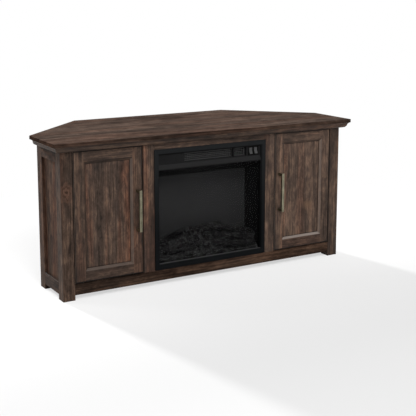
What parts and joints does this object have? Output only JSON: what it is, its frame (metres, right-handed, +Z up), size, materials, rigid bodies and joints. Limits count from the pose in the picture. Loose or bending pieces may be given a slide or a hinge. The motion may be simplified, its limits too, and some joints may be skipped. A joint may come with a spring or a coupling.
{
  "type": "fireplace tv stand",
  "caption": "Low corner television stand in dark wood with framed cupboard doors either side of a glazed electric log-effect fireplace insert with a warm-air outlet and rocker switches.",
  "frame": {"origin": "on the floor under the middle of the bounding box", "axes": "+X to the right along the front, +Y from the front to the wall corner, +Z up"},
  "size_m": [1.219, 0.508, 0.544],
  "materials": {
    "walnut": "satin dark walnut stain",
    "inner_board": "matte dark foil",
    "antique_brass": "satin antique",
    "steel": "zinc plated",
    "catch_plastic": "moulded",
    "black_metal": "black powder coat",
    "black_plastic": "fine texture",
    "clear_glass": "polished",
    "flame_panel": "smoked satin",
    "log_resin": "rough moulded bark",
    "bright_sheet": "bright sheet",
    "motor_steel": "plain",
    "circuit": "solder mask"
  },
  "bodies": {
    "cabinet": {"top_panel": "walnut", "sub_top": "walnut", "cornice": "walnut", "front_post_left": "walnut", "front_post_right": "walnut", "rear_post_left": "walnut", "rear_post_right": "walnut", "side_panel_left": "walnut", "side_panel_right": "walnut", "side_rails": "walnut", "bottom_rail": "walnut", "header_rail": "walnut", "center_stile_left": "walnut", "center_stile_right": "walnut", "partitions": "inner_board", "bottom_panel": "inner_board", "shelf_left": "inner_board", "shelf_right": "inner_board", "back_panels": "inner_board", "back_legs": "inner_board", "back_stretchers": "inner_board", "shelf_pins": "steel", "hinge_sockets": "steel", "mounting_brackets": "steel", "spinner_brackets": "steel", "door_catches": "catch_plastic", "trim_frame": "black_metal", "casing": "black_metal", "outlet_grille": "black_metal", "blower_housing": "black_metal", "heater_fascia": "black_plastic", "switch_housings": "black_plastic", "cord_gland": "black_plastic", "window_glass": "clear_glass", "flame_screen": "flame_panel", "log_set": "log_resin", "ember_bed": "log_resin", "heating_element": "bright_sheet", "spinner_motor": "motor_steel", "blower_motor": "motor_steel", "control_board": "circuit", "light_bar": "circuit"},
    "left_door": {"left_door_stiles": "walnut", "left_door_rails": "walnut", "left_door_panel": "walnut", "left_handle": "antique_brass", "left_handle_screws": "steel", "left_pivot_pins": "steel", "left_strike_plate": "steel"},
    "right_door": {"right_door_stiles": "walnut", "right_door_rails": "walnut", "right_door_panel": "walnut", "right_handle": "antique_brass", "right_handle_screws": "steel", "right_pivot_pins": "steel", "right_strike_plate": "steel"},
    "power_rocker": {"power_rocker": "black_plastic"},
    "heat_rocker": {"heat_rocker": "black_plastic"},
    "flame_spinner": {"flame_spinner": "bright_sheet"},
    "blower_wheel": {"blower_wheel": "bright_sheet"}
  },
  "joints": [
    {"name": "left_door_hinge", "type": "hinge", "parent": "cabinet", "child": "left_door", "pos_m": [-0.508, -0.213, 0.284], "axis": [0, 0, -1], "range_deg": [0, 105]},
    {"name": "right_door_hinge", "type": "hinge", "parent": "cabinet", "child": "right_door", "pos_m": [0.508, -0.213, 0.284], "axis": [0, 0, 1], "range_deg": [0, 105]},
    {"name": "power_switch", "type": "hinge", "parent": "cabinet", "child": "power_rocker", "pos_m": [0.17165, -0.2132, 0.4516], "axis": [1, 0, 0], "range_deg": [0, 24]},
    {"name": "heat_switch", "type": "hinge", "parent": "cabinet", "child": "heat_rocker", "pos_m": [0.19315, -0.2132, 0.4516], "axis": [1, 0, 0], "range_deg": [0, 24]},
    {"name": "flame_spin", "type": "hinge", "parent": "cabinet", "child": "flame_spinner", "pos_m": [0, -0.057, 0.112], "axis": [1, 0, 0], "continuous": true},
    {"name": "blower_spin", "type": "hinge", "parent": "cabinet", "child": "blower_wheel", "pos_m": [0, -0.122, 0.4476], "axis": [1, 0, 0], "continuous": true}
  ]
}
